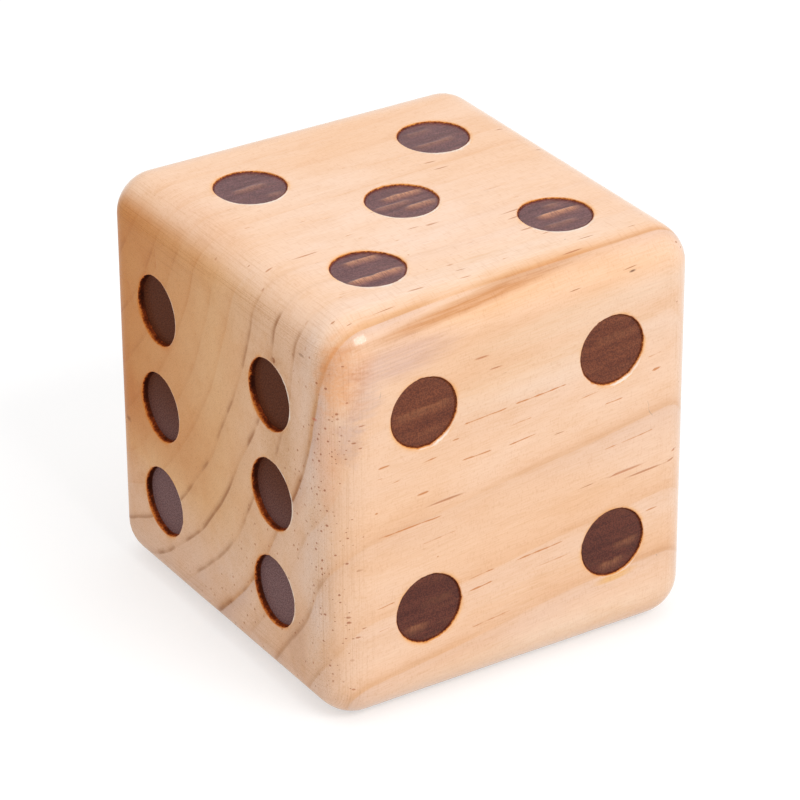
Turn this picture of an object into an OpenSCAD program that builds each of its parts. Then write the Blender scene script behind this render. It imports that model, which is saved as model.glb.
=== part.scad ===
// A large wooden die: one solid block of timber with rounded edges and shallow round pips.
// X runs along the grain, so the end grain shows on the -X and +X faces.
// The origin is at the middle of the underside, which the die rests on.
// Opposite faces add up to seven, and 1, 2 and 3 run anticlockwise round their shared corner.

/* [Block] */
// Length along the grain, between the two end-grain faces
block_length = 88; // [60:0.1:130]
// Width across the grain, from front to back
block_width = 91.7; // [60:0.1:130]
// Height across the grain, from underside to top
block_height = 90.6; // [60:0.1:130]
// Radius of the rounded edges and corners
edge_radius = 8.9; // [2:0.1:14]

/* [Pips] */
// Diameter of every pip
pip_diameter = 15.5; // [6:0.1:20]
// Distance from the middle of a pattern to its outer pips, along each side of the face
pip_offset = 22.5; // [16:0.1:26]
// Depth of the pips in the four faces that run along the grain
side_pip_depth = 0.6; // [0.2:0.1:3]
// Depth of the pips in the two end-grain faces, which burn away faster
end_pip_depth = 1.4; // [0.2:0.1:3]

/* [Pattern placing] */
// Distance of the five from the middle of its face, towards the back
five_shift_back = -1.7; // [-3:0.1:3]
// Turn of the five on its face, anticlockwise as seen from outside, in degrees
five_turn = 0.4; // [-3:0.1:3]
// Distance of the four above the middle of its face
four_shift_up = 0.8; // [-3:0.1:3]
// Turn of the four on its face, anticlockwise as seen from outside, in degrees
four_turn = 1.4; // [-3:0.1:3]
// Distance of the six from the middle of its face, towards the front
six_shift_front = -1; // [-3:0.1:3]
// Distance of the six above the middle of its face
six_shift_up = -1; // [-3:0.1:3]
// Turn of the six on its face, anticlockwise as seen from outside, in degrees
six_turn = 0.7; // [-3:0.1:3]

/* [Hidden] */
$fn = 96;

// Distances from the block's centre to its faces
half = [block_length, block_width, block_height] / 2;
// Distances from the block's centre to the centres of its edge and corner roundings
core = half - edge_radius * [1, 1, 1];
// How far a pocket's cutter stands proud of the face that it cuts
cutter_stand = 1;

// The corners of a square in anticlockwise order, as signs
SIGNS = [[1, 1], [-1, 1], [-1, -1], [1, -1]];

// Pip places of each number, in steps of pip_offset from the middle of its pattern
ONE = [[0, 0]];
TWO = [[-1, 1], [1, -1]];
THREE = concat(ONE, TWO);
FOUR = SIGNS;
FIVE = concat(ONE, FOUR);
SIX = concat(FOUR, [[-1, 0], [1, 0]]);

// A quarter of a disc, between the X and Y axes
module quarter_disc() {
    intersection() {
        circle(r = edge_radius);
        square(edge_radius);
    }
}

// The four parallel rounded edges of a bar along Z that is 2 * at.x wide, 2 * at.y deep and 2 * at.z long
module rounded_edges(at) {
    for (k = [0:3])
        translate([SIGNS[k].x * at.x, SIGNS[k].y * at.y, -at.z])
            rotate(90 * k)
                linear_extrude(height = 2 * at.z)
                    quarter_disc();
}

// The four rounded corners round the top of the block
module rounded_corners() {
    for (k = [0:3])
        translate([SIGNS[k].x * core.x, SIGNS[k].y * core.y, core.z])
            rotate(90 * k)
                rotate_extrude(angle = 90)
                    quarter_disc();
}

// The block before its pips are cut, centred on the origin. Its pieces meet face to face.
module rounded_block() {
    for (axis = [0:2])
        cube(2 * [for (i = [0:2]) i == axis ? half[i] : core[i]], center = true);
    rounded_edges(core);
    rotate([0, 90, 0])
        rounded_edges([core.z, core.y, core.x]);
    rotate([90, 0, 0])
        rounded_edges([core.x, core.z, core.y]);
    rounded_corners();
    mirror([0, 0, 1])
        rounded_corners();
}

// What is cut out for one number, on a face that lies in the XY plane and looks along +Z
module pips(places, depth, shift = [0, 0], turn = 0) {
    translate([shift.x, shift.y, -depth])
        rotate(turn)
            for (place = pip_offset * places)
                translate(place)
                    cylinder(d = pip_diameter, h = depth + cutter_stand);
}

module on_top() {
    translate([0, 0, half.z])
        children();
}

module on_underside() {
    rotate([180, 0, 0])
        translate([0, 0, half.z])
            children();
}

// Stands children up on a side face, with their Y axis upright. At turn 0 it is the front.
module on_side(turn, reach) {
    rotate([90, 0, turn])
        translate([0, 0, reach])
            children();
}

module die() {
    color("burlywood")
        translate([0, 0, half.z])
            difference() {
                rounded_block();
                on_top()
                    pips(FIVE, side_pip_depth, [0, five_shift_back], five_turn);
                on_underside()
                    pips(TWO, side_pip_depth);
                on_side(0, half.y)
                    pips(FOUR, side_pip_depth, [0, four_shift_up], four_turn);
                on_side(180, half.y)
                    pips(THREE, side_pip_depth);
                on_side(-90, half.x)
                    pips(SIX, end_pip_depth, [six_shift_front, six_shift_up], six_turn);
                on_side(90, half.x)
                    pips(ONE, end_pip_depth);
            }
}

die();
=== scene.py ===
"""A large wooden die: one block of pine with rounded edges and shallow burnt pips, under lacquer.

The script measures in millimetres from the middle of the block, with X along the grain, and turns
that into metres in the frame's own place when the mesh is made.
"""

import math
import random
from collections import namedtuple

import bmesh
import bpy
import numpy as np
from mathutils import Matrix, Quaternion, Vector, noise
from mathutils.geometry import delaunay_2d_cdt


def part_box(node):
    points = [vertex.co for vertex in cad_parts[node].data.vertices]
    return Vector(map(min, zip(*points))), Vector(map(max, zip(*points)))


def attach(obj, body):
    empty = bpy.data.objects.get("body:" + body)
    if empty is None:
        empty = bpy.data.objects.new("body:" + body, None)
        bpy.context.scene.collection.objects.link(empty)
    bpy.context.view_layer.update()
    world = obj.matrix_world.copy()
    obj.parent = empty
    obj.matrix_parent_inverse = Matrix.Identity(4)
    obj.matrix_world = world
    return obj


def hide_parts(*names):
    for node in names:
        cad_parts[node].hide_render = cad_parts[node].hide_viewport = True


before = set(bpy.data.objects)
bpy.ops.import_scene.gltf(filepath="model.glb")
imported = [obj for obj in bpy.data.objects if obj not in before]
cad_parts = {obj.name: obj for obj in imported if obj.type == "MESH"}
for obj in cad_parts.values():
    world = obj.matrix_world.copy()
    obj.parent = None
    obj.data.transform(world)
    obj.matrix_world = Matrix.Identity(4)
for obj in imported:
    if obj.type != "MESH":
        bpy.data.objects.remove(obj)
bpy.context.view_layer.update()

# ------------------------ sizes, in millimetres
MM = 0.001
LOW, HIGH = (np.array(corner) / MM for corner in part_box("die"))
MIDDLE = (LOW + HIGH) / 2
HALF = (HIGH - LOW) / 2
EDGE_RADIUS = 8.9
CORE = HALF - EDGE_RADIUS  # half of each face's flat part
WEAR = 0.16  # the most that the rounded edges are worn inwards

PIP_RADIUS = 15.5 / 2
PIP_OFFSET = 22.5
SIDE_PIP_DEPTH = 0.45  # before the bands and hollows of the floor are added
END_PIP_DEPTH = 1.4

# Pip places of each number, in steps of PIP_OFFSET from the middle of the pattern
ONE = [(0, 0)]
TWO = [(-1, 1), (1, -1)]
THREE = ONE + TWO
FOUR = [(1, 1), (-1, 1), (-1, -1), (1, -1)]
FIVE = ONE + FOUR
SIX = FOUR + [(-1, 0), (1, 0)]

# The way the fibres run: nearly along X, rising a little and leaning back
GRAIN = np.array([1, 0.035, 0.08])

# ------------------------ mesh fineness, in millimetres
FACE_STEP = 1.3
MARK_STEP = 0.9
ARC_STEPS = 12
RIM_STEPS = 144
SIDE_FLOOR_STEP = 0.5
END_FLOOR_STEP = 0.9
# The least room between the points of the mesh
MARK_TO_PIP = 0.2
MARK_TO_MARK = 0.8
MARK_TO_BORDER = 0.25
MARK_TO_HALO = 0.3
MARK_TO_FILL = 0.45

# A fine line in the flat wood: its points, half the width of its dark middle, and how much
# resin or dirt fills it
Mark = namedtuple("Mark", "points width resin grime", defaults=(0.18, 1, 0))


def dash(x, y, length, rise=0.3, width=0.13, resin=1):
    """A resin canal that the surface has cut along, from its left end."""
    return Mark([(x, y), (x + length, y + rise)], width, resin)


def scratch(*points, width=0.11, grime=1):
    return Mark(points, width, 0, grime)


def faint_dashes(count, low, high, seed):
    """Many short shallow dashes between two corners of a face."""
    pick = random.Random(seed)
    return [
        dash(pick.uniform(low[0], high[0]), pick.uniform(low[1], high[1]), pick.uniform(1.2, 3.4),
             pick.uniform(0, 0.2), pick.uniform(0.07, 0.11), pick.uniform(0.3, 0.55))
        for _ in range(count)
    ]


MARK_DEPTH = 0.03
MARK_BANKS = 2.0  # how far a mark's banks lie from its middle line, in half widths
TOP_MARKS = [
    dash(-31.5, -13.1, 3.0, 0.1, 0.12, 0.6), dash(-19, -9.9, 3.2, 0.2, 0.12, 0.5),
    dash(-34, -31.2, 4.8, 0.0, 0.11, 0.5), dash(-13.4, -31.3, 1.0, 0.1, 0.16, 0.9),
    dash(-12.9, -23.8, 0.8, 0.1, 0.18, 0.8), dash(-2.5, -29.6, 4.2, 0.3, 0.11, 0.45),
    dash(1.5, -35.6, 5.0, 0.3, 0.12, 0.6), dash(19, -13.3, 3.5, 0.2, 0.11, 0.45),
    dash(-34.2, 4.3, 2.4, 0, 0.13, 0.6), dash(-34.5, 9.0, 3.4, 0.1, 0.12, 0.55),
    dash(-30, 16.2, 2.2, 0, 0.12, 0.4), dash(4, 12.6, 3.0, 0.1, 0.1, 0.35),
    scratch((17.1, -35.4), (17.5, -34.9), (17.9, -34.7), width=0.2),
    *faint_dashes(44, (-35, -35), (12, 18), 5),
    *faint_dashes(10, (5, -36), (35, -5), 6),
]
FRONT_MARKS = [
    dash(-14, 17.3, 11, 0.8, 0.12, 0.9), dash(-1.8, 18.3, 13, 1.0, 0.14, 1),
    dash(12.2, 19.5, 2.4, 0.2, 0.24, 0.7), dash(30.4, 19.6, 4.4, 0.5, 0.14, 0.8),
    dash(14, 14.9, 5.4, 0.5, 0.12, 0.8), dash(31.6, 16.2, 2.9, 0.4, 0.22, 1),
    dash(-34.2, 13.2, 3.5, 0.3, 0.15, 0.9), dash(-16.8, 14.5, 2.4, 0.2, 0.14, 0.9),
    dash(-24, 11.6, 4.5, 0.4, 0.14, 0.8), dash(-3.5, 13.6, 6.5, 0.7, 0.12, 0.6),
    dash(-34.7, 11.0, 2.4, -0.1, 0.12, 0.7), dash(-31, 9.1, 2.6, 0.3, 0.13, 0.8),
    dash(-14.5, 9.3, 7.8, 0.3, 0.14, 0.85), dash(-3.5, 9.4, 7.6, 0.8, 0.14, 0.95),
    dash(20, 11.8, 5.2, 0.4, 0.13, 0.8), dash(-25.2, 4.6, 3.6, 0.2, 0.17, 1),
    dash(-34.8, 3.4, 1.0, 0.1, 0.22, 1), dash(-34.5, -2.5, 16, 0.8, 0.13, 0.9),
    dash(20, 1.3, 13, 1.3, 0.15, 0.6), dash(-24, -7, 9, 0.8, 0.12, 0.45),
    dash(-34.8, -18.7, 5, 0.5, 0.13, 0.8), dash(-13.2, -18.7, 7.4, 0.7, 0.13, 0.7),
    dash(-1.5, -17.9, 12.5, 1.0, 0.15, 0.85), dash(-12.9, -21.5, 6.6, 0.7, 0.14, 0.9),
    dash(3, -21, 10.5, 0.7, 0.12, 0.5), dash(-34.5, -24, 3.8, 0.4, 0.12, 0.7),
    dash(30.6, -16.4, 4, 0.4, 0.14, 0.7), dash(-12, -30.2, 10.5, 1.0, 0.13, 0.6),
    dash(-20.2, -10.9, 0.6, 0.1, 0.2, 0.9),
    scratch((-32.9, 31), (-33.1, 29.6), (-33.4, 28.2)),
    scratch((30.5, 10.3), (31.4, 8.5), (31.3, 7.2), (32.2, 6.2), (32.4, 5.1), grime=0.7),
    scratch((-34.4, -12.6), (-34.3, -15.2), grime=0.5),
    scratch((34.0, -27.6), (34.7, -28.0), width=0.14),
]
LEFT_MARKS = [
    Mark([(-23.6, 35.9), (-23.3, 33), (-23.4, 30.6)], 0.14, 0.8, 0),
    Mark([(-36.4, 23.7), (-34.8, 22.1), (-33.6, 20.8), (-33.3, 18.6)], 0.2, 0.7, 0.3),
    scratch((20.2, 31.5), (22.2, 35.9), width=0.1, grime=0.4),
    Mark([(-7.6, 23.0), (-7.2, 22.9)], 0.14, 0.8, 0),
]

# Harder bands that stand proud in the floors of pips: how far up from the pip's middle each lies,
# where along the grain it starts and ends, and how strong it is
FRONT_RIDGES = [
    [(3.2, -5.0, 7.5, 0.2)],
    [(0.9, -7.5, 7.5, 0.35), (-4.5, -3.0, 5.0, 0.15)],
    [(-3.2, -6.5, 1.0, 0.45), (1.5, -3.0, 7.0, 0.15)],
    [(-1.0, -0.5, 7.5, 0.4), (-4.6, -4.0, 4.0, 0.5)],
]
TOP_RIDGES = [
    [(3.2, -4.0, 7.5, 1.0), (-2.6, -2.0, 7.5, 0.85), (0.2, -7.5, 3.0, 0.4)],
    [(-1.5, -7.0, 5.0, 0.35), (4.5, -6.0, 3.0, 0.25)],
    [(0.7, -5.0, 5.0, 0.4), (-4.6, 0.0, 6.0, 0.3)],
    [(-2.6, -7.5, 7.5, 1.1), (4.8, -4.0, 6.0, 0.9)],
    [(1.4, -4.5, 7.5, 1.1), (4.8, -1.0, 5.0, 0.4), (-3.0, -6.0, 4.0, 0.3)],
]

# One side of the block:
#   right, up      its directions, seen from outside
#   places, depth  where its pips are, in steps of PIP_OFFSET, and how deep they go
#   relief         how much the grain stands out in their floors
#   lean, widths   the way, in degrees, that their rims widen, and how much each does; a painted highlight lies there
#   steep          how narrow and deep the wider part of a rim is
#   shift, turn    the place of the middle of the pattern, and its turn in degrees
#   marks, ridges  its own marks, and the bands in its pips' floors; None for made-up ones
Face = namedtuple("Face", "right up places depth relief lean widths steep shift turn marks ridges",
                  defaults=(-60, [0.25] * 6, 1, (0, 0), 0, None, None))
FACES = {
    "five": Face((1, 0, 0), (0, 1, 0), FIVE, SIDE_PIP_DEPTH, 0.3, -105, [0.6] * 5, 1,
                 (0, -1.7), 0.4, TOP_MARKS, TOP_RIDGES),
    "two": Face((1, 0, 0), (0, -1, 0), TWO, SIDE_PIP_DEPTH, 0.2),
    "four": Face((1, 0, 0), (0, 0, 1), FOUR, SIDE_PIP_DEPTH, 0.12, -62, [0.2, 0.17, 0.03, 0.08], 3,
                 (0, 0.8), 1.4, FRONT_MARKS, FRONT_RIDGES),
    "three": Face((-1, 0, 0), (0, 0, 1), THREE, SIDE_PIP_DEPTH, 0.2),
    "six": Face((0, -1, 0), (0, 0, 1), SIX, END_PIP_DEPTH, 0, 20,
                [0.36, 0.1, 0.08, 0.26, 0.1, 0.32], 1, (-1, -1), 0.7, LEFT_MARKS),
    "one": Face((0, 1, 0), (0, 0, 1), ONE, END_PIP_DEPTH, 0),
}


def out_of(face):
    """The way that a face looks."""
    return np.cross(face.right, face.up)


def along(axis, values):
    """The size of values along an axis that may point backwards."""
    return float(np.abs(np.dot(values, axis)))


def grain_slope(face):
    """How far the fibres climb on a face for each step to its right."""
    return float(np.dot(GRAIN, face.up) / np.dot(GRAIN, face.right))


def pip_middles(face):
    """The middle of each pip on a face."""
    turn = math.radians(face.turn)
    c, s = math.cos(turn), math.sin(turn)
    return [
        np.array([c * x - s * y, s * x + c * y]) * PIP_OFFSET + face.shift for x, y in face.places
    ]


def smooth(value, low, high):
    """0 below low, 1 above high, and an even curve between."""
    share = np.clip((value - low) / (high - low), 0, 1)
    return share * share * (3 - 2 * share)


# ------------------------ mesh
BURNT = 0.8  # a polygon whose corners are all charred this much is made of burnt wood
RIM_CHAR = 0.79  # the most on a rounded rim, which so stays clean wood


class Parts:
    """Points with their values, and triangles or quads between them, gathered patch by patch."""

    # pale is the strength of a painted highlight on the pips' rims
    VALUES = ("char", "sink", "floor", "ridge", "toast", "pale", "resin", "grime")

    def __init__(self):
        self.points, self.values, self.faces = [], [], []

    def add(self, points, faces, **values):
        start = sum(len(p) for p in self.points)
        self.points.append(np.asarray(points, float))
        columns = [np.broadcast_to(values.get(v, 0.0), len(points)) for v in self.VALUES]
        self.values.append(np.stack(columns, 1))
        self.faces += [tuple(start + i for i in face) for face in faces]

    def mesh(self, name):
        points = np.concatenate(self.points)
        values = np.concatenate(self.values)
        points = worn(points) + MIDDLE
        data = bpy.data.meshes.new(name)
        data.from_pydata((points * MM).tolist(), [], self.faces)
        for i, value in enumerate(self.VALUES):
            attribute = data.attributes.new(value, "FLOAT", "POINT")
            attribute.data.foreach_set("value", values[:, i].astype(np.float32))
        work = bmesh.new()
        work.from_mesh(data)
        bmesh.ops.remove_doubles(work, verts=work.verts, dist=1e-4 * MM)
        bmesh.ops.recalc_face_normals(work, faces=work.faces)
        char = work.verts.layers.float["char"]
        for face in work.faces:
            face.smooth = True
            face.material_index = int(min(v[char] for v in face.verts) >= BURNT)
        work.to_mesh(data)
        work.free()
        return data


def worn(points):
    """The points moved inwards on the rounded edges, a little and unevenly."""
    inside = np.clip(points, -CORE, CORE)
    normal = points - inside
    normal /= np.linalg.norm(normal, axis=1, keepdims=True)
    rounding = np.clip((1 - np.abs(normal).max(1)) / (1 - math.sqrt(0.5)), 0, 1)
    moved = points.copy()
    for i in np.flatnonzero(rounding > 0):
        wander = 0.5 + 0.5 * noise.noise(Vector(points[i] / 16))
        moved[i] -= normal[i] * rounding[i] * WEAR * wander
    return moved


def grid_faces(rows, columns, closed=False):
    """Quads between rows of points; closed joins each row's last point to its first."""
    last = columns if closed else columns - 1
    return [
        (r * columns + c, r * columns + (c + 1) % columns,
         (r + 1) * columns + (c + 1) % columns, (r + 1) * columns + c)
        for r in range(rows - 1) for c in range(last)
    ]


def samples(axis):
    """Where the mesh's lines cross the flat part of the block along X, Y or Z."""
    reach = along(axis, CORE)
    return np.linspace(-reach, reach, round(2 * reach / FACE_STEP) + 1)


def add_edges(parts):
    """The twelve rounded edges."""
    angles = np.linspace(0, math.pi / 2, ARC_STEPS + 1)
    for k in range(3):
        i, j = (k + 1) % 3, (k + 2) % 3
        run = samples(np.eye(3)[k])
        for si in (-1, 1):
            for sj in (-1, 1):
                points = np.zeros((len(run), len(angles), 3))
                points[..., k] = run[:, None]
                points[..., i] = si * (CORE[i] + EDGE_RADIUS * np.cos(angles))
                points[..., j] = sj * (CORE[j] + EDGE_RADIUS * np.sin(angles))
                parts.add(points.reshape(-1, 3), grid_faces(len(run), len(angles)))


def add_corners(parts):
    """The eight rounded corners, each an eighth of a ball in triangles."""
    n = ARC_STEPS
    rows = [[(i, j, n - i - j) for j in range(n - i + 1)] for i in range(n + 1)]
    index = {place: k for k, place in enumerate(sum(rows, []))}
    steps = np.sin(np.array(list(index)) * math.pi / 2 / n)
    ball = EDGE_RADIUS * steps / np.linalg.norm(steps, axis=1, keepdims=True)
    faces = []
    for i in range(n):
        for j in range(n - i):
            k = n - i - j
            here, over, up = index[i, j, k], index[i, j + 1, k - 1], index[i + 1, j, k - 1]
            faces.append((here, over, up))
            if k > 1:
                faces.append((over, index[i + 1, j + 1, k - 2], up))
    for signs in np.ndindex(2, 2, 2):
        sign = np.array(signs) * 2 - 1
        parts.add(sign * (CORE + ball), faces)


def ring(middle, radii, count):
    """Points round a middle; radii is one number or one for each point."""
    angles = np.arange(count) * 2 * math.pi / count
    return middle + np.stack([np.cos(angles), np.sin(angles)], 1) * np.reshape(radii, (-1, 1))


def within(points, middle, loop):
    """Which points lie inside a loop that goes once round its middle."""
    spokes = loop - middle
    angles = np.arctan2(spokes[:, 1], spokes[:, 0]) % (2 * math.pi)
    order = np.argsort(angles)
    spokes, angles = spokes[order], angles[order]
    rays = points - middle
    sector = np.searchsorted(angles, np.arctan2(rays[:, 1], rays[:, 0]) % (2 * math.pi)) % len(loop)
    start, end = spokes[sector - 1], spokes[sector]
    side = end - start
    return side[:, 0] * (rays - start)[:, 1] - side[:, 1] * (rays - start)[:, 0] > 0


def triangulated(points, lines):
    """Delaunay triangles through points, keeping the lines between them."""
    found = delaunay_2d_cdt([Vector(p) for p in points], lines, [], 0, 1e-6)
    if len(found[0]) != len(points):
        raise ValueError("two lines of the mesh cross")
    return np.array([tuple(p) for p in found[0]]), np.array(found[2])


def loop_lines(start, count):
    """The lines of a closed loop of points that are numbered in a row."""
    return [(start + i, start + (i + 1) % count) for i in range(count)]


def chain_lines(indices):
    """The lines from each of these points to the next."""
    return list(zip(indices, indices[1:]))


def honeycomb(reach, step):
    """Evenly spaced points that fill a rectangle of half sizes reach."""
    rise = step * math.sqrt(3) / 2
    rows = int(reach[1] / rise)
    columns = int(reach[0] / step) + 1
    points = [
        ((c + (r % 2) / 2) * step, r * rise)
        for r in range(-rows, rows + 1) for c in range(-columns, columns + 1)
    ]
    return np.array([p for p in points if abs(p[0]) <= reach[0]])


# The rounded rim of a pip, from the flat wood inwards: distance outside the wall, as a share of the
# rim's width, and height, as a share of its drop
RIM = [
    (1.6, 0), (1.3, -0.04), (0.9, -0.13), (0.45, -0.26), (0.15, -0.37), (0.04, -0.46), (0, -0.5),
]
RIM_WIDTH = 0.2  # before it widens towards the lean
CHAR_REACH = 0.2  # how far the burn spreads out over the rim where the radius is the plain one
CHIP = 0.12  # a radius larger by this doubles that
LEAST_CHAR_REACH = 0.08
# Rings of points round a pip: distance outside the rim and how many points
HALO_RINGS = [(0.62, 100), (1.15, 72), (1.9, 54)]
# Down a pip's wall: share of its height, and distance inside the rim
WALL = [(0.3, 0.04), (0.55, 0.08), (0.75, 0.13)]
# The hollow corner between wall and floor: distance inside the rim, and height above the floor
FLOOR_CORNER = [(0.2, 0.07), (0.32, 0.02), (0.5, 0)]
LEAST_WALL = 0.09  # the wall's height where a ridge of the floor meets it
# A band in the floor: the widths of its rise, its fall and its fading ends, and how far the wood
# beside it is sunk, as a share of the relief
BAND_RISE, BAND_FALL, BAND_FADE, BETWEEN_BANDS = 2.6, 0.3, 3, 0.15
FLOOR_RING = 0.36  # from the floor's edge to its next ring of points
FLOOR_FILL = 0.8  # from the floor's edge to the evenly spaced points


def rim_radii(seed):
    """A pip's ragged radius at each step round it."""
    radii = []
    for k in range(RIM_STEPS):
        angle = 2 * math.pi * k / RIM_STEPS
        here = Vector((math.cos(angle), math.sin(angle), 0)) * PIP_RADIUS
        offset = Vector((0, 0, 10.0 * seed))
        slow = noise.noise(here / 3 + offset)
        fine = noise.noise(here / 0.6 + offset)
        splinter = 0.5 + 0.5 * abs(math.sin(angle))
        chip = max(0, noise.noise(here / 1.4 - offset) - 0.3)
        radii.append(PIP_RADIUS + 0.05 * slow + 0.06 * splinter * fine + 0.25 * chip)
    return np.array(radii)


def rim_widths(face, width, seed):
    """How wide a pip's rim is at each step, how far it drops, and how strong a painted highlight on
    it is.
    """
    angles = np.arange(RIM_STEPS) * 2 * math.pi / RIM_STEPS
    side = np.maximum(0, np.cos(angles - math.radians(face.lean))) ** (2 * face.steep)
    around = [Vector((math.cos(a), math.sin(a), seed / 4)) * 4 for a in angles]
    uneven = np.array([noise.noise(here) for here in around])
    widths = RIM_WIDTH + width * side + 0.04 * uneven
    drops = np.minimum(0.18 + face.steep * width * side, 1.5 * face.depth)
    # The painted highlight, strongest where the rim widens
    pale = np.clip(side * (1 + 1.2 * uneven) * min(1, 5 * width), 0, 1)
    return widths, drops, pale


def floor_height(face, place, middle, ridges):
    """The height of a pip's floor at a place on its face, and how much it stands proud there."""
    if face.relief == 0:
        return -face.depth + 0.02 * noise.noise(Vector((*place, 0)) / 2), 0
    x, y = place - middle
    y -= grain_slope(face) * x
    fine = noise.noise(Vector((x / 6, y / 0.35, 1)))
    if ridges is None:
        grain = Vector((x / 18, (y + middle[1]) / 2.4, 3 * along((1, 2, 3), out_of(face))))
        proud = float(np.clip((noise.noise(grain) - 0.12) * 1.7, 0, 0.7))
    else:
        y += 0.25 * noise.noise(Vector((x / 3, y / 5, 2)))
        proud = 0.12 * noise.noise(Vector((x / 8, y / 0.8, 3)))
        for across, start, end, strength in ridges:
            slope = smooth(y - across, -BAND_RISE, 0) * (1 - smooth(y - across, 0, BAND_FALL))
            fade = smooth(x, start, start + BAND_FADE) * (1 - smooth(x, end - BAND_FADE, end))
            proud = max(proud, strength * slope * fade)
    return -face.depth + face.relief * (proud - BETWEEN_BANDS) + 0.025 * fine, proud


def add_pip(parts, place3d, face, k, middle, seed):
    """One pip: its rim, its wall and its floor. Gives the loop where it meets the face."""
    ridges = face.ridges and face.ridges[k]

    def floors(places):
        return np.array([floor_height(face, p, middle, ridges) for p in places])

    radii = rim_radii(seed)
    widths, drops, painted_highlight_strength = rim_widths(face, face.widths[k], seed)
    floor_loop = ring(middle, radii - FLOOR_CORNER[-1][0], RIM_STEPS)
    floor = floors(floor_loop)
    rows = [(ring(middle, radii + d * widths, RIM_STEPS), h * drops) for d, h in RIM]
    lip = rows[-1][1]
    foot = np.minimum(floor[:, 0], lip - LEAST_WALL)
    for share, inset in WALL:
        bite = [0.04 * noise.noise(Vector((*p, seed)) / 1.1) for p in floor_loop]
        wall = radii - inset + np.array(bite) * math.sin(share * math.pi)
        rows.append((ring(middle, wall, RIM_STEPS), lip + share * (foot - lip)))
    for d, h in FLOOR_CORNER:
        rows.append((ring(middle, radii - d, RIM_STEPS), foot + h))
    points = np.concatenate([place3d(p, h) for p, h in rows])
    sink = np.clip(np.concatenate([(h - lip) / (foot - lip) for _, h in rows]), 0, 1)
    spread = CHAR_REACH * (radii - PIP_RADIUS + CHIP) / CHIP
    spread = np.maximum(spread, LEAST_CHAR_REACH)
    burn = [RIM_CHAR * np.clip(1 - d * widths / spread, 0, 1) for d, _ in RIM[:-1]]
    char = np.concatenate([*burn, np.ones(RIM_STEPS * (len(rows) - len(burn)))])
    on_floor = np.repeat([0] * (len(rows) - 2) + [0.5, 1], RIM_STEPS)
    ridge = np.tile(floor[:, 1], len(rows))
    # The painted highlight, kept off the charred part of the rim
    pale = np.tile(painted_highlight_strength, len(rows)) * (1 - char)
    faces = grid_faces(len(rows), RIM_STEPS, closed=True)
    parts.add(points, faces, char=char, sink=sink, floor=on_floor, ridge=ridge, toast=1,
              pale=pale * np.repeat([0.3, 0.7] + [1] * (len(rows) - 2), RIM_STEPS))

    step = END_FLOOR_STEP if face.relief == 0 else SIDE_FLOOR_STEP
    fill = honeycomb([PIP_RADIUS] * 2, step)
    fill = middle + fill[np.hypot(*fill.T) < PIP_RADIUS - FLOOR_CORNER[-1][0] - FLOOR_FILL]
    inner = ring(middle, radii - FLOOR_CORNER[-1][0] - FLOOR_RING, RIM_STEPS)
    flat, triangles = triangulated(
        np.concatenate([floor_loop, inner[::2], fill]), loop_lines(0, RIM_STEPS)
    )
    kept = triangles[within(flat[triangles].mean(1), middle, floor_loop)]
    heights, proud = floors(flat).T
    heights[:RIM_STEPS] = foot
    parts.add(place3d(flat, heights), kept, char=1, sink=1, floor=1, ridge=proud, toast=1)
    return rows[0][0]


def random_marks(face, seed):
    """Marks for a side without marks of its own: short dashes, and a few scratches."""
    pick = random.Random(seed)
    across, up = along(face.right, CORE) - 2, along(face.up, CORE) - 2
    marks = []
    for _ in range(0 if face.relief == 0 else 16):
        x, y = pick.uniform(-across, across - 9), pick.uniform(-up, up)
        length = pick.choice([1.5, 3, 4, 6, 9])
        marks.append(dash(x, y, length, length * grain_slope(face), pick.uniform(0.11, 0.16),
                          pick.uniform(0.5, 1)))
    for _ in range(3):
        x, y, turn = pick.uniform(-across, across), pick.uniform(-up, up), pick.uniform(0, math.pi)
        marks.append(scratch((x, y), (x + 2 * math.cos(turn), y + 2 * math.sin(turn)),
                             width=0.1, grime=0.6))
    return marks


def drawn(mark, seed):
    """A mark's wobbly middle line, how far away its banks are, how full it is, and the way across."""
    corners = np.array(mark.points, float)
    run = np.concatenate([[0], np.cumsum(np.linalg.norm(np.diff(corners, axis=0), axis=1))])
    count = max(4, round(run[-1] / MARK_STEP) + 1)
    here = np.linspace(0, run[-1], count)
    middle = np.stack([np.interp(here, run, corners[:, k]) for k in (0, 1)], 1)
    wobble = np.array([noise.noise(Vector((s / 2.5, 7.3 * seed, 0))) for s in here])
    aside = np.array([corners[0, 1] - corners[-1, 1], corners[-1, 0] - corners[0, 0]]) / run[-1]
    middle += np.outer(0.12 * wobble, aside)
    full = np.array([0.75 + 0.6 * noise.noise(Vector((s / 1.7, 3.1 * seed, 5))) for s in here])
    banks = MARK_BANKS * mark.width * np.clip(full, 0.55, 1.2)
    return middle, banks, np.clip(full, 0.3, 1), aside


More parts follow.
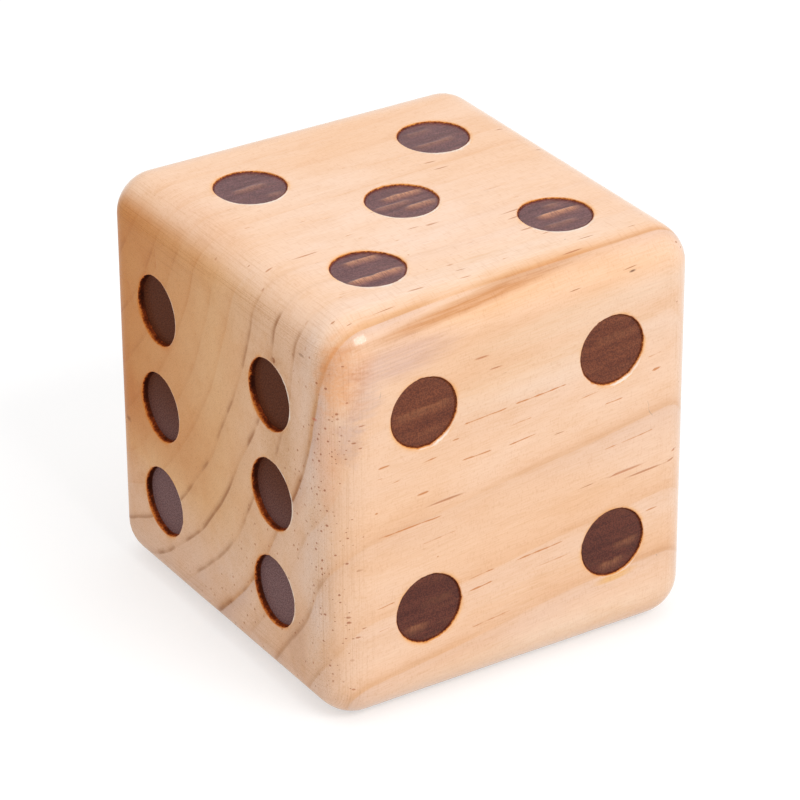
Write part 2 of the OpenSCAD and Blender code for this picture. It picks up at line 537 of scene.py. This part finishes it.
def add_face(parts, face, seed):
    """One flat side of the block, with its pips and marks."""
    right, up, out = np.array(face.right), np.array(face.up), out_of(face)

    def place3d(flat, height):
        rise = along(out, HALF) + np.broadcast_to(height, len(flat))
        return np.outer(flat[:, 0], right) + np.outer(flat[:, 1], up) + np.outer(rise, out)

    layers, lines, loops = [], [], []

    def add_layer(points, height=0, toast=0, resin=0, grime=0):
        """Keeps points with their height and values, and gives the number of the first."""
        start = sum(len(p) for p, _ in layers)
        columns = [np.broadcast_to(v, len(points)) for v in (height, toast, resin, grime)]
        layers.append((points, np.stack(columns, 1)))
        return start

    reach = np.array([along(right, CORE), along(up, CORE)])
    xs, ys = samples(right), samples(up)
    border = np.concatenate([
        [(x, -reach[1]) for x in xs], [(reach[0], y) for y in ys[1:]],
        [(x, reach[1]) for x in xs[-2::-1]], [(-reach[0], y) for y in ys[-2:0:-1]],
    ])
    lines += loop_lines(add_layer(border), len(border))

    middles = pip_middles(face)
    near_pip = PIP_RADIUS + RIM[0][0] * (max(face.widths) + RIM_WIDTH) + MARK_TO_PIP
    drawn_points = [np.zeros((0, 2))]
    marks = random_marks(face, seed) if face.marks is None else face.marks
    for k, mark in enumerate(marks):
        middle, banks, full, aside = drawn(mark, 100 * seed + k)
        nearest = min(np.hypot(*(middle - pip).T).min() for pip in middles)
        crowd = np.linalg.norm(middle[:, None] - np.concatenate(drawn_points)[None], axis=2)
        if nearest < near_pip or (crowd.size and crowd.min() < MARK_TO_MARK):
            continue
        if (np.abs(middle) > reach - MARK_TO_BORDER).any():
            continue
        full[[0, -1]] = 0
        first = add_layer(middle, -MARK_DEPTH * full, resin=mark.resin * full,
                          grime=mark.grime * full)
        spine = list(range(first, first + len(middle)))
        lines += chain_lines(spine)
        drawn_points.append(middle)
        for side in (-1, 1):
            bank = middle[1:-1] + side * np.outer(banks[1:-1], aside)
            first = add_layer(bank)
            lines += chain_lines([spine[0], *range(first, first + len(bank)), spine[-1]])
            drawn_points.append(bank)
    drawn_points = np.concatenate(drawn_points)

    def clear_of_marks(points, gap):
        """The points that lie further than a gap from every mark."""
        if len(drawn_points) == 0:
            return points
        apart = np.linalg.norm(points[:, None] - drawn_points[None], axis=2).min(1)
        return points[apart > gap]

    fill = honeycomb(reach - 0.7 * FACE_STEP, FACE_STEP)
    for k, middle in enumerate(middles):
        loop = add_pip(parts, place3d, face, k, middle, seed * 10 + k)
        loops.append((middle, loop))
        lines += loop_lines(add_layer(loop, toast=1), len(loop))
        for distance, steps in HALO_RINGS:
            halo = clear_of_marks(ring(middle, PIP_RADIUS + distance, steps), MARK_TO_HALO)
            add_layer(halo, toast=1 - distance / HALO_RINGS[-1][0])
        clear = PIP_RADIUS + HALO_RINGS[-1][0] + 0.6 * FACE_STEP
        fill = fill[np.hypot(*(fill - middle).T) > clear]
    add_layer(clear_of_marks(fill, MARK_TO_FILL))

    values = np.concatenate([v for _, v in layers])
    flat, triangles = triangulated(np.concatenate([p for p, _ in layers]), lines)
    keep = np.ones(len(triangles), bool)
    for middle, loop in loops:
        keep &= ~within(flat[triangles].mean(1), middle, loop)
    height, toast, resin, grime = values.T
    parts.add(place3d(flat, height), triangles[keep], toast=toast, resin=resin, grime=grime)


def new_object(name, data):
    """An object in the scene."""
    made = bpy.data.objects.new(name, data)
    bpy.context.collection.objects.link(made)
    return made


def make_die():
    """The whole block as one object."""
    parts = Parts()
    add_edges(parts)
    add_corners(parts)
    for seed, face in enumerate(FACES.values()):
        add_face(parts, face, seed)
    return new_object("pine_die", parts.mesh("pine_die"))


# ------------------------ material
# The pith, seen from the middle of the block; it lies well outside, above the back
PITH = (91.1, 64.0)
# A year's ring ends in a dark line. Its distance from the pith, and from 0 to 1: how dark the line
# is, how amber the wood is before it, how grey after it, and how many resin canals lie near it
RINGS = [
    (44, 0.30, 0.2, 0.1, 0.2), (52, 0.35, 0.2, 0.1, 0.2), (60.5, 0.30, 0.2, 0.1, 0.2),
    (69, 0.25, 0.2, 0.1, 0.2), (77, 0.15, 0.3, 0.1, 0.2), (85, 0.08, 0.35, 0.1, 0.25),
    (93, 0.08, 0.2, 0.15, 0.3), (100.5, 0.08, 0.25, 0.1, 0.45), (108.3, 0.75, 0.2, 0.3, 0.6),
    (116.8, 1.00, 0.2, 0.3, 0.7), (124.5, 0.70, 0.2, 0.3, 0.7), (134, 0.90, 1.0, 1.0, 0.7),
    (142, 0.12, 0.1, 0.2, 0.5), (150, 0.50, 0.4, 0.5, 0.45), (159, 0.25, 0.25, 0.2, 0.3),
    (167, 0.80, 0.6, 0.7, 0.1), (176, 0.40, 0.3, 0.2, 0.1),
]

MEAN_RADIUS = 110  # of the rings in the block
# The rings and canals show less up to the first of these distances than from the second
QUIET, MARKED = 118, 132
# Two places where the left end meets the front: middle and half sizes
LEFT_FRONT_EDGE = (-44, -42, -4), (9, 8, 46)
LEFT_FRONT_CORNER = (-44, -45, 36), (16, 12, 22)

# Patches of another tone, and one painted sheen: middle, half sizes, and what the wood's colour is
# multiplied by
STAINS_AND_SHEEN = [
    ((-44, -38, -2), (5, 7, 60), (1.03, 1.13, 1.27)),
    ((-44, 38, -12), (5, 13, 22), (0.94, 0.84, 0.73)),
    ((-44, -22, 26), (5, 10, 9), (0.92, 0.84, 0.75)),
    ((-44, -8, -20), (5, 14, 15), (1.02, 1.07, 1.16)),
    ((5, -46, 24), (46, 5, 8), (1.01, 1.08, 1.14)),
    ((10, -46, -25), (46, 5, 8), (0.97, 0.92, 0.85)),
    ((0, -45, -41), (62, 9, 8), (1.01, 1.09, 1.14)),
    ((0, -36, 45), (75, 9, 5), (1.01, 1.07, 1.12)),
    ((14, -46, 34), (42, 4, 5), (1.0, 1.07, 1.13)),
    ((-5, 34, 45), (52, 16, 5), (0.99, 0.95, 0.89)),
    ((-40, 12, 45), (10, 24, 5), (0.97, 0.93, 0.91)),
    ((-44, -31, -32), (5, 6, 12), (0.90, 0.88, 0.88)),
    ((-44, -25, 14), (9, 9, 27), (0.85, 0.77, 0.64)),
    # Painted sheen: the top made paler and less saturated, as the lacquer's reflection of the sky
    # would make it
    ((0, -22, 46), (75, 48, 8), (1.02, 1.07, 1.15)),
    ((-28, -44, 36), (18, 8, 6), (0.83, 0.80, 0.87)),
    ((-41, -43, 34), (9, 6, 11), (1.0, 0.78, 0.58)),
    ((-36.5, -45, 29), (5, 6, 7), (0.86, 0.87, 0.96)),
    ((-40, -45, 21), (4, 5, 8), (0.85, 0.86, 0.95)),
    ((-43.5, -42, 16), (4, 6, 15), (0.98, 0.87, 0.80)),
    ((-8, -43, 42.0), (46, 8, 4), (0.97, 0.90, 0.79)),
    ((-12, -43.5, 42.3), (36, 10, 1.5), (0.76, 0.58, 0.40)),
    ((24, -45.9, -29.5), (6.5, 2, 1.3), (1.0, 0.86, 0.50)),
    ((-43.8, 37.5, -10.2), (2, 1.6, 1.0), (0.62, 0.52, 0.40)),
    ((27, -45.1, 39.9), (1.0, 1.5, 0.26), (0.24, 0.19, 0.17)),
    ((-43.9, -38.5, 24.1), (1.5, 0.9, 0.45), (0.92, 0.50, 0.48)),
    ((-44, -23.6, 30.6), (1.5, 0.9, 0.8), (0.55, 0.36, 0.20)),
    ((-43.9, -34.4, 36.4), (1.5, 1.6, 0.5), (0.55, 0.48, 0.42)),
]

# Colours, as linear light
WARM, PALE = (0.885, 0.565, 0.365), (0.905, 0.615, 0.435)
AMBER = (0.895, 0.72, 0.50)
RING_LINE = (0.58, 0.46, 0.36)
GREY = (0.84, 0.835, 0.90)
# The end grain, from pale at the front and bottom to ochre at the back and top
END_GRAIN = [(0, (0.95, 0.95, 0.965)), (0.5, (0.90, 0.78, 0.55)), (1, (0.73, 0.46, 0.185))]
# Painted highlight: the near-white colour of the widened side of the pips' rims
RIM_PAINTED_HIGHLIGHT = (0.94, 0.82, 0.70)
SCORCH = (0.66, 0.225, 0.04)
RESIN = (0.58, 0.21, 0.06)
GRIME = (0.25, 0.20, 0.17)
# The second colour of this line is the char with a painted grey-purple reflection of the sky, for pip
# floors that face up
SIDE_CHAR, TOP_CHAR_PAINTED_SHEEN = (0.22, 0.06, 0.024), (0.20, 0.081, 0.081)
# The second colour of this line is the end pips' char with a painted grey reflection of the floor,
# used for the lower pips
END_CHAR, LOW_END_CHAR_PAINTED_SHEEN = (0.138, 0.043, 0.020), (0.25, 0.145, 0.138)
SIDE_RIDGE, TOP_RIDGE = (0.44, 0.175, 0.075), (0.58, 0.27, 0.155)
# The walls of the pips, from scorched amber to black
WALL_COLOURS = [
    (0.0, (0.82, 0.36, 0.085)), (0.14, (0.60, 0.18, 0.035)), (0.35, (0.27, 0.058, 0.015)),
    (0.6, (0.10, 0.025, 0.010)), (1.0, (0.045, 0.013, 0.008)),
]


class Nodes:
    """Fills a node tree. Each method adds a node and gives the socket that holds its result."""

    def __init__(self, tree):
        self.tree = tree
        tree.nodes.clear()

    def add(self, kind, output=0, inputs=(), **settings):
        node = self.tree.nodes.new("ShaderNode" + kind)
        for name, value in settings.items():
            setattr(node, name, value)
        for name, value in dict(inputs).items():
            self.set(node.inputs[name], value)
        return node.outputs[output] if output is not None else node

    def set(self, socket, value):
        if isinstance(value, bpy.types.NodeSocket):
            self.tree.links.new(value, socket)
        else:
            if socket.type == "RGBA" and len(value) == 3:
                value = (*value, 1)
            socket.default_value = value

    def maths(self, operation, *values, clamp=False):
        return self.add("Math", operation=operation, use_clamp=clamp, inputs=enumerate(values))

    def plus(self, a, b):
        return self.maths("ADD", a, b)

    def times(self, *values):
        result = values[0]
        for value in values[1:]:
            result = self.maths("MULTIPLY", result, value)
        return result

    def scaled(self, vector, *factors):
        return self.add("VectorMath", operation="MULTIPLY", inputs={0: vector, 1: factors})

    def joined(self, *values):
        return self.add("CombineXYZ", inputs=enumerate(values))

    def dot(self, vector, *direction):
        return self.add("VectorMath", "Value", operation="DOT_PRODUCT",
                        inputs={0: vector, 1: direction})

    def length(self, vector):
        return self.add("VectorMath", "Value", operation="LENGTH", inputs={0: vector})

    def span(self, value, low, high, start=0.0, end=1.0, kind="SMOOTHSTEP"):
        """value's place between low and high, as a number from start to end."""
        return self.add("MapRange", interpolation_type=kind, inputs={
            "Value": value, "From Min": low, "From Max": high, "To Min": start, "To Max": end})

    def noise(self, vector, detail=2.0, roughness=0.5):
        return self.add("TexNoise", inputs={
            "Vector": vector, "Scale": 1, "Detail": detail, "Roughness": roughness})

    def ramp(self, value, stops):
        """value turned into the colours, or the numbers, that lie at stops from 0 to 1."""
        colour = self.add("ValToRGB", inputs={"Fac": value})
        elements = colour.node.color_ramp.elements
        while len(elements) < len(stops):
            elements.new(1)
        for element, (place, value) in zip(elements, stops):
            element.position = place
            element.color = (*((value,) * 3 if isinstance(value, (int, float)) else value), 1)
        return colour

    def mix(self, factor, a, b, blend="MIX"):
        """Two colours mixed: those are sockets 6 and 7 of a Mix node, and its output 2."""
        return self.add("Mix", 2, data_type="RGBA", blend_type=blend,
                        inputs={0: factor, 6: a, 7: b})

    def filtered(self, colour, factor, tint):
        """A colour seen through a tint, which is as strong as factor."""
        return self.mix(factor, colour, tint, "MULTIPLY")

    def value(self, attribute):
        """One of the values that the mesh keeps at its points."""
        return self.add("Attribute", "Fac", attribute_name=attribute)


class Wood:
    """Where a point of the block lies in the tree that it was cut from, in millimetres."""

    def __init__(self, n):
        self.n = n
        self.block = n.add("VectorMath", operation="MULTIPLY_ADD", inputs={
            0: n.add("TexCoord", "Object"), 1: (1 / MM,) * 3, 2: tuple(-MIDDLE)})
        self.along = n.dot(self.block, 1, 0, 0)
        y = n.maths("SUBTRACT", n.dot(self.block, -GRAIN[1], 1, 0), PITH[0])
        z = n.maths("SUBTRACT", n.dot(self.block, -GRAIN[2], 0, 1), PITH[1])
        self.tree = n.joined(self.along, y, z)
        slow = n.noise(n.scaled(self.tree, 1 / 120, 1 / 34, 1 / 34), detail=1)
        fine = n.noise(n.scaled(self.tree, 1 / 40, 1 / 7, 1 / 7), detail=1)
        radius = n.length(n.scaled(self.tree, 0, 1, 1))
        radius = n.maths("MULTIPLY_ADD", n.maths("SUBTRACT", slow, 0.5), 7, radius)
        self.radius = n.maths("MULTIPLY_ADD", n.maths("SUBTRACT", fine, 0.5), 0.6, radius)
        self.around = n.times(n.maths("ARCTAN2", z, y), MEAN_RADIUS)
        outwards = n.dot(n.add("TexCoord", "Normal"), 1, 0, 0)
        self.end = n.span(n.maths("ABSOLUTE", outwards), 0.6, 1.0)
        self.side = n.maths("SUBTRACT", 1, self.end)

    def in_tree(self, place):
        """A place in the block, in the tree's directions."""
        x, y, z = place
        return x, y - GRAIN[1] * x - PITH[0], z - GRAIN[2] * x - PITH[1]

    def ellipsoid(self, middle, reach):
        """How far a point lies from a middle, as a share of the reach that way."""
        n = self.n
        offset = n.add("VectorMath", operation="SUBTRACT", inputs={
            0: self.tree, 1: self.in_tree(middle)})
        return n.length(n.scaled(offset, *(1 / r for r in reach)))

    def noise(self, along, out, around, **settings):
        """Noise with the given grain size along the fibres, out from the pith and round it."""
        n = self.n
        place = n.scaled(n.joined(self.along, self.radius, self.around), 1 / along, 1 / out,
                         1 / around)
        return n.noise(place, **settings)

    def patches(self, along, across, **settings):
        """Noise that is even across the fibres."""
        return self.n.noise(self.n.scaled(self.tree, 1 / along, 1 / across, 1 / across), **settings)


def year_rings(n, wood, colour):
    """The wood's colour with its yearly rings, and how many resin canals there are."""
    first, last = RINGS[0][0], RINGS[-1][0]
    place = n.span(wood.radius, first, last, kind="LINEAR")
    places = [(row[0] - first) / (last - first) for row in RINGS]
    years = n.ramp(place, [(p, k / (len(RINGS) - 1)) for k, p in enumerate(places)])
    year = n.maths("FRACT", n.times(years, len(RINGS) - 1))
    kinds = n.add("SeparateColor", None, inputs={
        "Color": n.ramp(place, [(p, row[1:4]) for p, row in zip(places, RINGS)])}).outputs
    richness = n.ramp(place, [(p, row[4]) for p, row in zip(places, RINGS)])

    faded = n.span(wood.patches(40, 11, detail=1), 0.38, 0.60, 0.5, 1)
    late = n.ramp(year, [(0, 0.25), (0.05, 0), (0.55, 0), (0.85, 0.5), (0.96, 1), (1, 0.8)])
    quiet = n.maths("MAXIMUM", wood.end, n.span(wood.radius, QUIET, MARKED, 0.5, 1))
    amber = n.times(late, n.plus(n.times(kinds[1], 1.2), 0.1), faded, quiet)
    colour = n.filtered(colour, amber, AMBER)
    after = n.ramp(year, [(0, 0.8), (0.06, 1), (0.3, 0.45), (0.6, 0), (1, 0.3)])
    colour = n.filtered(colour, n.times(after, kinds[2], faded, quiet), GREY)
    line = n.ramp(year, [(0, 0.8), (0.03, 0), (0.82, 0), (0.90, 0.35), (0.955, 1), (1, 1)])
    line = n.times(line, kinds[0], n.span(wood.patches(30, 9, detail=2), 0.40, 0.6, 0.15, 1),
                   n.maths("MAXIMUM", n.span(wood.end, 0.4, 1),
                           n.span(wood.radius, QUIET, MARKED, 0.1, 0.3)),
                   n.span(wood.ellipsoid(*LEFT_FRONT_CORNER), 0.4, 1.2, 0.2, 1))
    colour = n.filtered(colour, line, RING_LINE)
    return colour, n.times(richness, n.span(year, 0.1, 0.6, 0.25, 1))


def canals(n, wood, richness):
    """Resin canals, thin tubes along the fibres: dots at the ends, and dashes on the long sides."""
    wander = n.noise(n.scaled(wood.tree, 1 / 30, 1 / 12, 1 / 12), detail=0)
    wander = n.maths("SUBTRACT", wander, 0.5)
    across = n.add("VectorMath", operation="ADD", inputs={
        0: n.scaled(wood.tree, 0, 1, 1), 1: n.joined(0, n.times(wander, 3), n.times(wander, -2))})
    place = n.add("SeparateXYZ", None, inputs={0: across}).outputs

    def cells(size):
        """Cells across the fibres: how far away each one's middle is, and its random numbers."""
        found = n.add("TexVoronoi", None, voronoi_dimensions="2D", inputs={
            "Vector": n.joined(place[1], place[2], 0), "Scale": 1 / size}).outputs
        colour = n.add("SeparateColor", None, inputs={"Color": found["Color"]})
        return found["Distance"], colour.outputs

    distance, chance = cells(1.7)
    radius = n.span(chance[0], 0, 1, 0.07, 0.22, kind="LINEAR")
    shape = n.span(n.maths("DIVIDE", distance, radius), 0.45, 1, 1, 0)
    near_edge = n.span(wood.ellipsoid(*LEFT_FRONT_EDGE), 0.5, 1.1, 1, 0)
    wanted = n.maths("MULTIPLY_ADD", richness, n.span(wood.end, 0, 1, 0.55, 1),
                     n.times(near_edge, 0.16))
    distance, luck = cells(1.05)
    dot = n.span(n.maths("DIVIDE", distance, n.span(luck[0], 0, 1, 0.06, 0.15)), 0.5, 1, 1, 0)
    dot = n.times(dot, n.maths("LESS_THAN", luck[1], n.times(near_edge, 0.26)))
    chosen = n.maths("LESS_THAN", chance[1], wanted)
    lasting = n.span(n.noise(n.joined(n.times(wood.along, 1 / 8), chance[2], chance[0]), detail=0),
                     0.42, 0.5)
    plain = n.span(wood.radius, QUIET, MARKED, 0.2, 1)
    strength = n.maths("MAXIMUM", wood.side, plain)
    lasting = n.maths("MAXIMUM", lasting, near_edge)
    tube = n.maths("MAXIMUM", n.times(shape, chosen, lasting, strength), dot)
    return tube, chance[2], near_edge


def sanded(n, wood):
    """Fine lines left by sanding: along the edges of the ends, and across the ends of the sides."""
    block = wood.block
    level = n.noise(n.scaled(block, 1 / 40, 1 / 30, 1 / 0.22), detail=1)
    upright = n.noise(n.scaled(block, 1 / 40, 1 / 0.22, 1 / 30), detail=1)
    high = n.span(n.maths("ABSOLUTE", n.dot(block, 0, 0, 1)), 27, 42)
    wide = n.span(n.maths("ABSOLUTE", n.dot(block, 0, 1, 0)), 32, 43)
    level = n.times(n.span(level, 0.50, 0.66), high)
    upright = n.times(n.span(upright, 0.52, 0.66), wide)
    across = n.noise(n.scaled(block, 1 / 0.24, 1 / 14, 1 / 14), detail=1)
    across = n.times(n.span(across, 0.5, 0.68), n.span(n.maths("ABSOLUTE", wood.along), 31, 42))
    return n.mix(wood.end, n.times(across, 0.55), n.maths("MAXIMUM", level, upright))


def wood_colour(n, wood):
    """The colour of the bare wood, and the height of its surface in millimetres."""
    tone = n.span(wood.patches(60, 20, detail=2), 0.36, 0.64)
    colour = n.mix(tone, WARM, PALE)
    ochre = n.times(n.span(n.dot(wood.block, 0, 1, 0), -45, 44),
                    n.span(n.dot(wood.block, 0, -0.2, 1), -36, -10),
                    n.span(wood.along, -10, 30, 1, 0.62))
    colour = n.filtered(colour, wood.end, n.ramp(ochre, END_GRAIN))
    colour, richness = year_rings(n, wood, colour)

    mottle = wood.patches(14, 4.5, detail=3, roughness=0.6)
    colour = n.filtered(colour, n.span(mottle, 0.45, 0.72, 0, 0.5), (0.94, 0.87, 0.77))
    streaks = wood.noise(45, 0.5, 7, detail=2, roughness=0.6)
    colour = n.filtered(colour, n.span(streaks, 0.48, 0.72, 0, 0.18), (0.90, 0.82, 0.72))
    fibres = wood.patches(5, 0.22, detail=2, roughness=0.7)
    colour = n.filtered(colour, n.span(fibres, 0.40, 0.70, 0, 0.6), (0.91, 0.85, 0.77))
    rays = wood.noise(0.3, 5, 0.5, detail=1)
    rays = n.times(n.span(rays, 0.54, 0.72), wood.side)
    colour = n.filtered(colour, n.times(rays, 0.35), (0.86, 0.76, 0.68))
    pores = n.span(n.noise(n.scaled(wood.tree, 1 / 3, 1 / 0.2, 1 / 0.2), detail=2), 0.45, 0.75)
    colour = n.filtered(colour, n.times(pores, wood.end, 0.7), (0.76, 0.66, 0.56))

    ragged = n.maths("SUBTRACT", wood.patches(14, 2.2, detail=3), 0.5)
    streaky = n.span(wood.patches(16, 0.5, detail=2), 0.35, 0.65, 0.7, 1.1)
    for middle, reach, tint in STAINS_AND_SHEEN:
        near = n.maths("MULTIPLY_ADD", ragged, min(1.1, 12 / max(reach)),
                       wood.ellipsoid(middle, reach))
        near = n.times(n.span(near, 0.25, 1.0, 1, 0), streaky)
        colour = n.filtered(colour, near, tint)

    lines = sanded(n, wood)
    colour = n.filtered(colour, n.times(lines, 0.8), (0.84, 0.76, 0.66))
    tube, kind, near_edge = canals(n, wood, richness)
    tube_tint = n.mix(kind, (0.52, 0.32, 0.18), (0.66, 0.40, 0.27))
    tube_tint = n.mix(n.times(near_edge, 0.7), tube_tint, (0.42, 0.17, 0.09))
    colour = n.filtered(colour, n.times(tube, 0.8), tube_tint)
    resin = n.span(n.value("resin"), 0.05, 0.6)
    colour = n.mix(n.times(resin, 0.9), colour, RESIN)
    grime = n.span(n.value("grime"), 0.1, 0.8)
    colour = n.mix(n.times(grime, 0.6), colour, GRIME)

    height = n.plus(n.times(fibres, 0.012), n.times(tube, -0.04))
    return colour, n.plus(height, n.times(lines, -0.006))


def lacquered(name, build, **settings):
    """A material: its colour, bump and coat come from build, its other numbers from settings."""
    material = bpy.data.materials.new(name)
    material.use_nodes = True
    n = Nodes(material.node_tree)
    colour, height, coat = build(n, Wood(n))
    bump = n.add("Bump", inputs={"Strength": 1, "Distance": MM, "Height": height})
    shader = n.add("BsdfPrincipled", inputs={
        "Base Color": colour, "Normal": bump, "Coat Weight": coat, **settings})
    n.add("OutputMaterial", None, inputs={"Surface": shader})
    return material


def clean_wood(n, wood):
    """The wood outside the pips, toasted round them, with a painted highlight on one side of each
    rim.
    """
    colour, height = wood_colour(n, wood)
    toasted = n.span(wood.patches(9, 6), 0.42, 0.62)
    halo = n.times(n.maths("POWER", n.value("toast"), 3), toasted,
                   n.span(n.value("pale"), 0, 0.5, 0.7, 0))
    colour = n.filtered(colour, halo, (1.0, 0.80, 0.45))
    # Painted highlight where the mesh's pale value is set, on the widened side of each rim
    colour = n.mix(n.times(n.value("pale"), 0.85), colour, RIM_PAINTED_HIGHLIGHT)
    colour = n.mix(n.value("char"), colour, SCORCH)
    return colour, height, n.span(wood.end, 0, 1, 0.9, 0.35)


def burnt_wood(n, wood):
    """The walls and floors of the pips: amber, red-brown and black walls, chocolate floors."""
    # The walls face every way, so here the place says what belongs to the ends
    reach = n.maths("ABSOLUTE", wood.along)
    wood.end = n.maths("GREATER_THAN", reach, float(HALF[0]) - 2 * END_PIP_DEPTH)
    wood.side = n.maths("SUBTRACT", 1, wood.end)
    specks = wood.patches(0.5, 0.5, detail=2, roughness=0.7)
    burn = wood.patches(4, 2.6, detail=1)
    shade = n.span(n.value("sink"), 0, n.span(wood.end, 0, 1, 1.0, 0.62), 0.0, 0.85,
                   kind="LINEAR")
    uneven = n.plus(n.times(n.maths("SUBTRACT", specks, 0.5), n.span(wood.end, 0, 1, 1.8, 1.4)),
                    n.times(n.maths("SUBTRACT", burn, 0.5), n.span(wood.end, 0, 1, 0.7, 1.1)))
    shade = n.maths("MULTIPLY_ADD", uneven, n.span(n.value("sink"), 0, 0.2, 0.35, 1), shade)
    facing = n.add("SeparateXYZ", None, inputs={0: n.add("TexCoord", "Normal")}).outputs
    # Painted light from above: walls that face up are lighter, and walls that face down darker
    shade = n.times(shade, n.span(facing[2], -0.1, 0.7, 1.15, 0.6))
    wall = n.filtered(n.ramp(shade, WALL_COLOURS), wood.end, (1.0, 0.80, 0.75))

    # Floors that face up take the char with its painted reflection of the sky
    bed = n.mix(n.span(facing[2], 0.5, 1), SIDE_CHAR, TOP_CHAR_PAINTED_SHEEN)
    # Lower down, the end pips' floors take a painted reflection of the floor, and the side pips'
    # floors turn darker and more lilac
    low = n.span(n.dot(wood.block, 0, 0, 1), 8, -24)
    bed = n.mix(wood.end, bed, n.mix(low, END_CHAR, LOW_END_CHAR_PAINTED_SHEEN))
    bands = n.span(wood.patches(25, 1.3, detail=3, roughness=0.6), 0.36, 0.66)
    bed = n.filtered(bed, n.times(bands, wood.side, 0.55), (0.58, 0.44, 0.46))
    threads = n.span(wood.patches(9, 0.28, detail=2, roughness=0.6), 0.5, 0.68)
    bed = n.filtered(bed, n.times(threads, wood.side, n.span(facing[2], 0, 1, 0.25, 0.5)),
                     (0.50, 0.42, 0.46))
    crumbs = n.span(n.noise(n.scaled(wood.block, *(1 / 0.3,) * 3), detail=2), 0.40, 0.60)
    bed = n.filtered(bed, crumbs, (0.56, 0.51, 0.55))
    bed = n.filtered(bed, n.times(low, wood.side), (0.64, 0.58, 0.82))
    raster = n.noise(n.scaled(wood.block, 1 / 0.22, 1 / 1.6, 1 / 1.6), detail=1)
    bright = n.times(n.value("ridge"), n.span(raster, 0.35, 0.6, 0.45, 1), wood.side)
    bed = n.mix(bright, bed, n.mix(n.span(facing[2], 0.5, 1), SIDE_RIDGE, TOP_RIDGE))
    foot = n.times(n.span(n.value("sink"), 0.45, 0.75), wood.side, 0.8)
    colour = n.mix(n.maths("MAXIMUM", n.value("floor"), foot), wall, bed)

    coat = n.times(n.span(wood.end, 0, 1, 1, 0.12), n.span(n.value("floor"), 0.6, 1, 0.1, 1))
    height = n.plus(n.times(specks, 0.06), n.times(crumbs, 0.01))
    return colour, height, coat


die = make_die()
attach(die, "root")
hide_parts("die")
die.data.materials.append(lacquered("pine", clean_wood, **{
    "Roughness": 0.5, "Specular IOR Level": 0.0, "Coat Roughness": 0.13, "Coat IOR": 1.45}))
die.data.materials.append(lacquered("burnt_pine", burnt_wood, **{
    "Roughness": 0.6, "Specular IOR Level": 0.0, "Coat Roughness": 0.3, "Coat IOR": 1.3}))


# ------------------------ floor, camera and light
FLOOR_COLOUR = (0.8,) * 3  # as it lights the die
SEEN_FLOOR, SEEN_GLOW = (0.5,) * 3, 0.55  # as the camera and reflections see it
SKY_LIGHT = 0.66  # on the die; the camera sees 1


def seen(n):
    """1 for what the camera and reflections see, 0 for what lights the die."""
    path = n.add("LightPath", None).outputs
    seen_by_eye = n.maths("MAXIMUM", path["Is Camera Ray"], path["Is Glossy Ray"])
    return n.maths("MAXIMUM", seen_by_eye, path["Is Transmission Ray"])


def make_floor():
    """A wide pale floor that shows white where nothing shades it."""
    data = bpy.data.meshes.new("floor")
    reach = 4.0
    corners = [(-reach, -reach, 0), (reach, -reach, 0), (reach, reach, 0), (-reach, reach, 0)]
    data.from_pydata(corners, [], [(0, 1, 2, 3)])
    new_object("floor", data)
    material = bpy.data.materials.new("floor")
    material.use_nodes = True
    n = Nodes(material.node_tree)
    white = seen(n)
    cloth = n.add("BsdfDiffuse", inputs={"Color": n.mix(white, FLOOR_COLOUR, SEEN_FLOOR)})
    glow = n.add("Emission", inputs={"Color": (1, 1, 1), "Strength": n.times(white, SEEN_GLOW)})
    surface = n.add("AddShader", inputs={0: cloth, 1: glow})
    n.add("OutputMaterial", None, inputs={"Surface": surface})
    data.materials.append(material)


def make_world():
    """An even white sky."""
    world = bpy.data.worlds.new("world")
    bpy.context.scene.world = world
    world.use_nodes = True
    n = Nodes(world.node_tree)
    sky = n.add("Background", inputs={
        "Color": (1, 1, 1), "Strength": n.span(seen(n), 0, 1, SKY_LIGHT, 1)})
    n.add("OutputWorld", None, inputs={"Surface": sky})


def towards(azimuth, elevation):
    """The way from the block to a place round it; azimuth 0 is in front, and 90 at its right."""
    a, e = math.radians(azimuth), math.radians(elevation)
    return Vector((math.sin(a) * math.cos(e), -math.cos(a) * math.cos(e), math.sin(e)))


def soft_box(name, azimuth, elevation, distance, width, height, power):
    """A rectangular lamp that looks at the block."""
    lamp = new_object(name, bpy.data.lights.new(name, "AREA"))
    lamp.data.shape, lamp.data.size, lamp.data.size_y = "RECTANGLE", width, height
    lamp.data.energy = power
    back = towards(azimuth, elevation)
    lamp.location = Vector(MIDDLE) * MM + back * distance
    lamp.rotation_euler = (-back).to_track_quat("-Z", "Y").to_euler()


def make_camera():
    """A long lens that looks down on the front and the left end."""
    azimuth, elevation, roll, distance = -32.37, 28.22, math.radians(-0.32), 0.8733
    target = Vector((0.0004, 0, 0.0434))
    back = towards(azimuth, elevation)
    camera = new_object("camera", bpy.data.cameras.new("camera"))
    camera.location = target + distance * back
    camera.rotation_mode = "QUATERNION"
    camera.rotation_quaternion = (-back).to_track_quat("-Z", "Y") @ Quaternion((0, 0, 1), roll)
    camera.data.lens = 187.48
    bpy.context.scene.camera = camera


make_floor()
make_world()
make_camera()
soft_box("front_box", 11, 44, 2.4, 1.24, 0.68, 23)
soft_box("top_box", 0, 88, 2.8, 2.4, 2.4, 19)
bpy.context.scene.view_settings.view_transform = "Standard"
